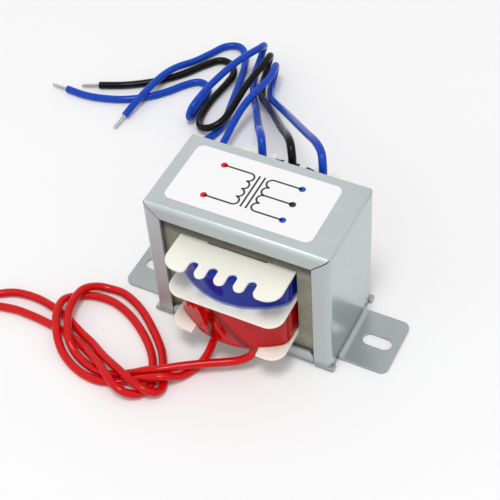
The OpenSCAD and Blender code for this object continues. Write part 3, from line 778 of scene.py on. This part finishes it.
class TRANSFORMER_OT_leads(bpy.types.Operator):
    """Makes the five leads and their stripped ends"""

    bl_idname = "transformer.leads"
    bl_label = "Leads"

    def execute(self, context):
        settings = looks().leads
        vinyl = {
            shade_name: lead_vinyl(f"{shade_name}_vinyl", getattr(settings, shade_name), gloss)
            for shade_name, gloss in LEAD_GLOSS.items()
        }
        tin = tinned_wire()
        tube_shape, strands = lead_shape(), strands_shape()
        for lead_node, end_node, points, shade_name, length in LEADS:
            curve, heading = smooth_route(points)
            lead = tube_shape.grow(
                f"{lead_node}_tube",
                wire_mesh(lead_node, curve),
                radius=settings.diameter / 2,
                sides=settings.sides,
                material=vinyl[shade_name],
            )
            end = strands.grow(
                f"{end_node}_strands",
                bpy.data.meshes.new(end_node),
                strands=settings.strands,
                twist=settings.twist,
                radius=settings.wire / 2,
                length=settings.strip,
                place=curve[-1],
                turn=heading.to_track_quat("Z", "Y").to_euler(),
                material=tin,
            )
            stand_for(lead, f"{shade_name}_lead", lead_node)
            stand_for(end, "tinned_wire", end_node)
        return {"FINISHED"}


# Gap up to which points of a copied mesh are one, the bend that still counts as flat, and the bend
# from which an edge is sharp
WELD_GAP = 0.001 * MM
FLAT_BEND = math.radians(0.5)
SHARP_BEND = math.radians(38)


def softened(node, name, width, material, segments=2):
    """A copy of a node whose sharp edges are rounded, so that they catch the light."""
    shape = bmesh.new()
    shape.from_mesh(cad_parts[node].data)
    bmesh.ops.remove_doubles(shape, verts=shape.verts, dist=WELD_GAP)
    bmesh.ops.dissolve_limit(shape, angle_limit=FLAT_BEND, verts=shape.verts, edges=shape.edges)
    mesh = bpy.data.meshes.new(name)
    shape.to_mesh(mesh)
    shape.free()
    mesh.materials.clear()
    mesh.materials.append(material)
    mesh.shade_smooth()
    piece = link(name, mesh)
    bevel = piece.modifiers.new("Rounded edges", "BEVEL")
    bevel.width = width
    bevel.segments = segments
    bevel.limit_method = "ANGLE"
    bevel.angle_limit = SHARP_BEND
    bevel.miter_outer = "MITER_ARC"
    even = piece.modifiers.new("Even shading", "WEIGHTED_NORMAL")
    even.weight = 100
    return settle(piece, name)


class TRANSFORMER_OT_sheet_metal(bpy.types.Operator):
    """Finishes the folded frame and the strap under the core"""

    bl_idname = "transformer.sheet_metal"
    bl_label = "Sheet metal"

    def execute(self, context):
        plating = plated_sheet()
        for node in ("mounting_frame", "bottom_strap"):
            piece = softened(node, f"{node}_sheet", looks().body.sheet_edge, plating)
            stand_for(piece, "frame_sheet", node)
        return {"FINISHED"}


class TRANSFORMER_OT_core(bpy.types.Operator):
    """Finishes the laminations"""

    bl_idname = "transformer.core"
    bl_label = "Core"

    def execute(self, context):
        steel = varnished_core()
        for node in ("e_laminations", "i_laminations"):
            dress(node, steel)
        return {"FINISHED"}


class TRANSFORMER_OT_bobbin(bpy.types.Operator):
    """Finishes the moulded bobbin"""

    bl_idname = "transformer.bobbin"
    bl_label = "Bobbin"

    def execute(self, context):
        piece = softened("bobbin", "bobbin_moulding", looks().body.bobbin_edge, moulded_nylon(), 3)
        stand_for(piece, "bobbin_plastic", "bobbin")
        return {"FINISHED"}


class TRANSFORMER_OT_windings(bpy.types.Operator):
    """Finishes the two windings"""

    bl_idname = "transformer.windings"
    bl_label = "Windings"

    def execute(self, context):
        copper = enamelled_wire()
        for node in ("primary_winding", "secondary_winding"):
            dress(node, copper)
        return {"FINISHED"}


def arc_places(centre, radius, start, end, step):
    """Places along an arc without its end, as places and outward directions; 0 looks to the front."""
    count = max(2, math.ceil(radius * (end - start) / step))
    for i in range(count):
        angle = start + (end - start) * i / count
        outward = Vector((math.sin(angle), -math.cos(angle)))
        yield Vector(centre) + outward * radius, outward


def side_places(start, end, outward, step):
    """Places along a straight side without its end."""
    count = max(2, math.ceil((end - start).length / step))
    for i in range(count):
        yield start.lerp(end, i / count), outward


def coil_loop(front_r, rear_r, half_w, corner_r, step):
    """Places and outward directions once round a coil: bowed ends, straight sides, round corners."""
    x = half_w - corner_r
    front_y = math.sqrt((front_r - corner_r) ** 2 - x**2)
    rear_y = math.sqrt((rear_r - corner_r) ** 2 - x**2)
    front, rear = math.atan2(x, front_y), math.pi - math.atan2(x, rear_y)
    quarter, whole = math.pi / 2, 2 * math.pi
    right, left = Vector((1, 0)), Vector((-1, 0))
    return [
        *arc_places((0, 0), front_r, -front, front, step),
        *arc_places((x, -front_y), corner_r, front, quarter, step),
        *side_places(Vector((half_w, -front_y)), Vector((half_w, rear_y)), right, step),
        *arc_places((x, rear_y), corner_r, quarter, rear, step),
        *arc_places((0, 0), rear_r, rear, whole - rear, step),
        *arc_places((-x, rear_y), corner_r, whole - rear, 3 * quarter, step),
        *side_places(Vector((-half_w, rear_y)), Vector((-half_w, -front_y)), left, step),
        *arc_places((-x, -front_y), corner_r, 3 * quarter, whole - front, step),
    ]


def rise(value, low, high):
    """0 below low, 1 above high and smooth between them."""
    share = min(1.0, max(0.0, (value - low) / (high - low)))
    return share * share * (3 - 2 * share)


def tape_section(height, fold, round_r, step, bend_steps=5, fold_steps=8):
    """Outward offsets and lifts down a tape's face to its folded edge; the fold lies at lift 0."""
    face = [(0.0, height - i * step) for i in range(int((height - round_r) / step))]
    face.append((0.0, round_r))
    bend = [
        (-round_r * (1 - math.cos(angle)), round_r * (1 - math.sin(angle)))
        for angle in (math.pi / 2 * i / bend_steps for i in range(1, bend_steps + 1))
    ]
    under = [(-round_r - i * (fold - round_r) / fold_steps, 0.0) for i in range(1, fold_steps + 1)]
    return face + bend + under


# Waves that make up the wrinkles: height, waves once round the coil, waves up the face, and start
WRINKLES = [(0.45, 7, 0.5, 0), (0.3, 19, -0.9, 1.3), (0.25, 37, 1.7, 0.4)]


def wrinkles(turn_share, height_share):
    """Shallow waves over a tape from -1 to 1; the first share goes once round the coil."""
    return sum(
        height * math.sin(2 * math.pi * (around * turn_share + up * height_share) + start)
        for height, around, up, start in WRINKLES
    )


def distance_to_line(x, z, line):
    """Distance of a point from a straight stretch."""
    (x0, z0), (x1, z1) = line
    dx, dz = x1 - x0, z1 - z0
    share = ((x - x0) * dx + (z - z0) * dz) / (dx * dx + dz * dz)
    share = min(1.0, max(0.0, share))
    return math.hypot(x - x0 - share * dx, z - z0 - share * dz)


class TapeForm:
    """A tape round a coil: where it lies, and how its face departs from the plain outline."""

    step = 0.3 * MM
    bend_r = 0.35 * MM
    smooth_h = 1.2 * MM

    def __init__(self, node, free_z, fold_z):
        low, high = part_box(node)
        settings = looks().tapes
        self.settings = settings
        self.fold_z = fold_z
        self.height = abs(free_z - fold_z)
        self.up = 1 if free_z > fold_z else -1
        half_w = (high.x - low.x) / 2
        self.loop = coil_loop(-low.y, high.y, half_w, settings.corner, self.step)
        self.section = tape_section(self.height, settings.fold, self.bend_r, self.step)

    def drop(self, place):
        """How far the folded edge hangs below the coil."""
        return 0.0

    def relief(self, place, turn_share, z, lift):
        """Outward departure of the face, how firmly it lies on a lead, and how pale its free edge is,
        partly as a painted highlight.
        """
        return self.settings.wrinkle * wrinkles(turn_share, lift / self.height), 0.0, 0.0

    def mesh(self, name, material):
        """The film as a grid once round the coil."""
        rows, columns = len(self.section), len(self.loop)
        points, contact, free_edge = [], [], []
        for column, (place, outward) in enumerate(self.loop):
            drop = self.drop(place)
            for offset, lift in self.section:
                z = self.fold_z + self.up * (lift * (self.height + drop) / self.height - drop)
                out, pressed, edge = self.relief(place, column / columns, z, lift)
                flat = place + outward * (offset + out * rise(lift, 0, self.smooth_h))
                points.append((flat.x, flat.y, z))
                contact.append(pressed)
                free_edge.append(edge)
        faces = []
        for column in range(columns):
            here, there = column * rows, (column + 1) % columns * rows
            for row in range(rows - 1):
                quad = (here + row, here + row + 1, there + row + 1, there + row)
                faces.append(quad if self.up > 0 else quad[::-1])
        mesh = bpy.data.meshes.new(name)
        mesh.from_pydata(points, [], faces)
        mesh.attributes.new("contact", "FLOAT", "POINT").data.foreach_set("value", contact)
        mesh.attributes.new("free_edge", "FLOAT", "POINT").data.foreach_set("value", free_edge)
        mesh.materials.append(material)
        mesh.shade_smooth()
        return mesh

    def piece(self, name, material):
        """The film with its thickness."""
        piece = link(name, self.mesh(name, material))
        solid = piece.modifiers.new("Film", "SOLIDIFY")
        solid.thickness = self.settings.film
        solid.offset = -1
        return settle(piece, name)


class PrimaryTape(TapeForm):
    """Red film over the ends of the primary leads, hanging in the recess of the lower flange."""

    foot_half_w = 8.3 * MM
    foot_slope = 0.5 * MM
    foot_drop = 1.0 * MM
    lead_lines = [
        ((-2.5 * MM, 22 * MM), (-4.2 * MM, 9 * MM)),
        ((-2.2 * MM, 21 * MM), (7.2 * MM, 9 * MM)),
    ]
    lead_spread = 1.5 * MM
    press_spread = 1.1 * MM
    sink = 0.16 * MM
    ridge_end = 0.4 * MM
    ridge_full = 2 * MM

    def drop(self, place):
        if place.y > 0:
            return 0.0
        foot_end = self.foot_half_w + self.foot_slope
        return self.foot_drop * (1 - rise(abs(place.x), self.foot_half_w, foot_end))

    def relief(self, place, turn_share, z, lift):
        out, pressed, edge = super().relief(place, turn_share, z, lift)
        out -= self.sink
        if place.y < 0:
            near = min(distance_to_line(place.x, z, line) for line in self.lead_lines)
            below_flange = rise(self.height - lift, self.ridge_end, self.ridge_full)
            out += self.settings.ridge * math.exp(-((near / self.lead_spread) ** 2)) * below_flange
            pressed = math.exp(-((near / self.press_spread) ** 4))
        return out, pressed, edge


class SecondaryTape(TapeForm):
    """Blue film, folded over the secondary, whose outer turn ends just above its free edge."""

    outer_turn = 0.14 * MM
    edge_from = 0.75 * MM
    edge_to = 1.0 * MM
    edge_highlight_strength = 0.75
    lap_start = 0.56
    lap_rise = 0.003
    lap_end = 0.7

    def relief(self, place, turn_share, z, lift):
        out, pressed, edge = super().relief(place, turn_share, z, lift)
        to_edge = self.height - lift
        out += self.outer_turn * (rise(to_edge, self.edge_from, self.edge_to) - 1)
        lap = rise(turn_share, self.lap_start, self.lap_start + self.lap_rise)
        out += self.outer_turn * lap * (1 - rise(turn_share, self.lap_start, self.lap_end))
        # Painted highlight: the free edge is made paler, partly for the single layer of film and partly to
        # stand in for the shine along the rolled edge
        edge = self.edge_highlight_strength * (1 - rise(to_edge, self.edge_from, self.edge_to))
        return out, pressed, edge


class TRANSFORMER_OT_tapes(bpy.types.Operator):
    """Makes the tapes round the windings"""

    bl_idname = "transformer.tapes"
    bl_label = "Tapes"

    def execute(self, context):
        settings = looks().tapes
        red = film_tape("red_film", settings.red, shade(settings.red, 0.44), shade(settings.red, 1.2))
        blue = film_tape("blue_film", settings.blue, shade(settings.blue, 0.7), settings.blue_edge_and_highlight)
        gap = settings.flange_gap
        primary_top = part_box("primary_tape")[1].z - gap
        primary_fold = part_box("bobbin")[0].z + settings.flange
        primary = PrimaryTape("primary_tape", primary_top, primary_fold)
        stand_for(primary.piece("primary_tape_film", red), "red_tape", "primary_tape")
        low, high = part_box("secondary_tape")
        secondary = SecondaryTape("secondary_tape", low.z + gap, high.z - gap)
        stand_for(secondary.piece("secondary_tape_film", blue), "blue_tape", "secondary_tape")
        return {"FINISHED"}


class Print:
    """Flat areas of ink on a level surface, gathered into one mesh."""

    dot_sides = 32

    def __init__(self, middle, depth):
        self.shape = bmesh.new()
        self.middle = middle
        self.depth = depth

    def area(self, outline, ink):
        """Ink inside an outline that runs anticlockwise."""
        low, top = [
            [self.shape.verts.new(self.middle + Vector((*point, lift))) for point in outline]
            for lift in (0, self.depth)
        ]
        faces = [top, low[::-1]]
        for i in range(len(outline)):
            faces.append((low[i - 1], low[i], top[i], top[i - 1]))
        for corners in faces:
            self.shape.faces.new(corners).material_index = ink

    def line(self, points, width, ink):
        """A line of ink through points."""
        last = len(points) - 1
        left, right = [], []
        for i, point in enumerate(points):
            ahead = (points[min(i + 1, last)] - points[max(i - 1, 0)]).normalized()
            side = Vector((-ahead.y, ahead.x)) * width / 2
            left.append(point + side)
            right.append(point - side)
        self.area(right + left[::-1], ink)

    def dot(self, centre, radius, ink):
        """A round spot of ink."""
        self.area(arc(centre, radius, 0, 2 * math.pi, self.dot_sides)[:-1], ink)

    def piece(self, name, inks):
        """The print as an object with one material for each ink."""
        mesh = bpy.data.meshes.new(name)
        self.shape.to_mesh(mesh)
        self.shape.free()
        for ink in inks:
            mesh.materials.append(ink)
        return link(name, mesh)


def arc(centre, radius, start, end, steps):
    """Points along an arc, anticlockwise where the end is the larger angle."""
    angles = [start + (end - start) * i / steps for i in range(steps + 1)]
    return [Vector(centre) + Vector((math.cos(angle), math.sin(angle))) * radius for angle in angles]


class TRANSFORMER_OT_label(bpy.types.Operator):
    """Finishes the label and prints a plain winding diagram on it"""

    bl_idname = "transformer.label"
    bl_label = "Label"
    turn_steps = 24

    def execute(self, context):
        settings = looks().label
        dress("label", label_film())
        low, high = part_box("label")
        middle = (low + high) / 2
        middle.z = high.z
        self.sheet = Print(middle, settings.ink_depth)
        self.settings = settings
        half_h = settings.bumps * settings.bump
        self.coil(-1, {half_h: "red", -half_h: "red"})
        self.coil(1, {half_h: "blue", 0: "black", -half_h: "blue"})
        for x in (-settings.core_gap / 2, settings.core_gap / 2):
            self.sheet.line([Vector((x, -half_h)), Vector((x, half_h))], settings.line, 0)
        leads = looks().leads
        inks = [print_ink("black_ink", settings.ink)]
        inks += [print_ink(f"{name}_ink", getattr(leads, name)) for name in ("red", "blue")]
        stand_for(self.sheet.piece("label_print", inks), "label_film")
        return {"FINISHED"}

    def coil(self, side, leads):
        """A coil on one side of the core, and lead lines at some heights that end in coloured dots."""
        settings = self.settings
        x = side * settings.coil_gap / 2
        half_h = settings.bumps * settings.bump
        for i in range(settings.bumps):
            centre = (x, half_h - (2 * i + 1) * settings.bump)
            top, low = math.pi / 2, math.pi / 2 + side * math.pi
            half_turn = arc(centre, settings.bump, top, low, self.turn_steps)
            self.sheet.line(half_turn, settings.line, 0)
        for y, ink in leads.items():
            end = x + side * settings.lead
            self.sheet.line([Vector((x, y)), Vector((end, y))], settings.line, 0)
            self.sheet.dot((end, y), settings.dot, ("black", "red", "blue").index(ink))


OPERATORS = (
    TRANSFORMER_OT_stage,
    TRANSFORMER_OT_leads,
    TRANSFORMER_OT_sheet_metal,
    TRANSFORMER_OT_core,
    TRANSFORMER_OT_bobbin,
    TRANSFORMER_OT_windings,
    TRANSFORMER_OT_tapes,
    TRANSFORMER_OT_label,
)


class TRANSFORMER_PT_looks(bpy.types.Panel):
    """Lists the pieces of the transformer"""

    bl_idname = "TRANSFORMER_PT_looks"
    bl_label = "Transformer"
    bl_space_type = "VIEW_3D"
    bl_region_type = "UI"
    bl_category = "Transformer"

    def draw(self, context):
        for operator in OPERATORS:
            self.layout.operator(operator.bl_idname)


CLASSES = (
    StageSettings,
    LeadSettings,
    TapeSettings,
    BodySettings,
    LabelSettings,
    Looks,
    *OPERATORS,
    TRANSFORMER_PT_looks,
)


def register():
    """Adds the settings, the operators and the panel."""
    for each in CLASSES:
        bpy.utils.register_class(each)
    bpy.types.Scene.transformer_looks = PointerProperty(type=Looks)


def unregister():
    """Takes them away again."""
    del bpy.types.Scene.transformer_looks
    for each in reversed(CLASSES):
        bpy.utils.unregister_class(each)


def main():
    """Makes every piece."""
    register()
    for operator in OPERATORS:
        group, name = operator.bl_idname.split(".")
        getattr(getattr(bpy.ops, group), name)()


if __name__ == "__main__":
    main()
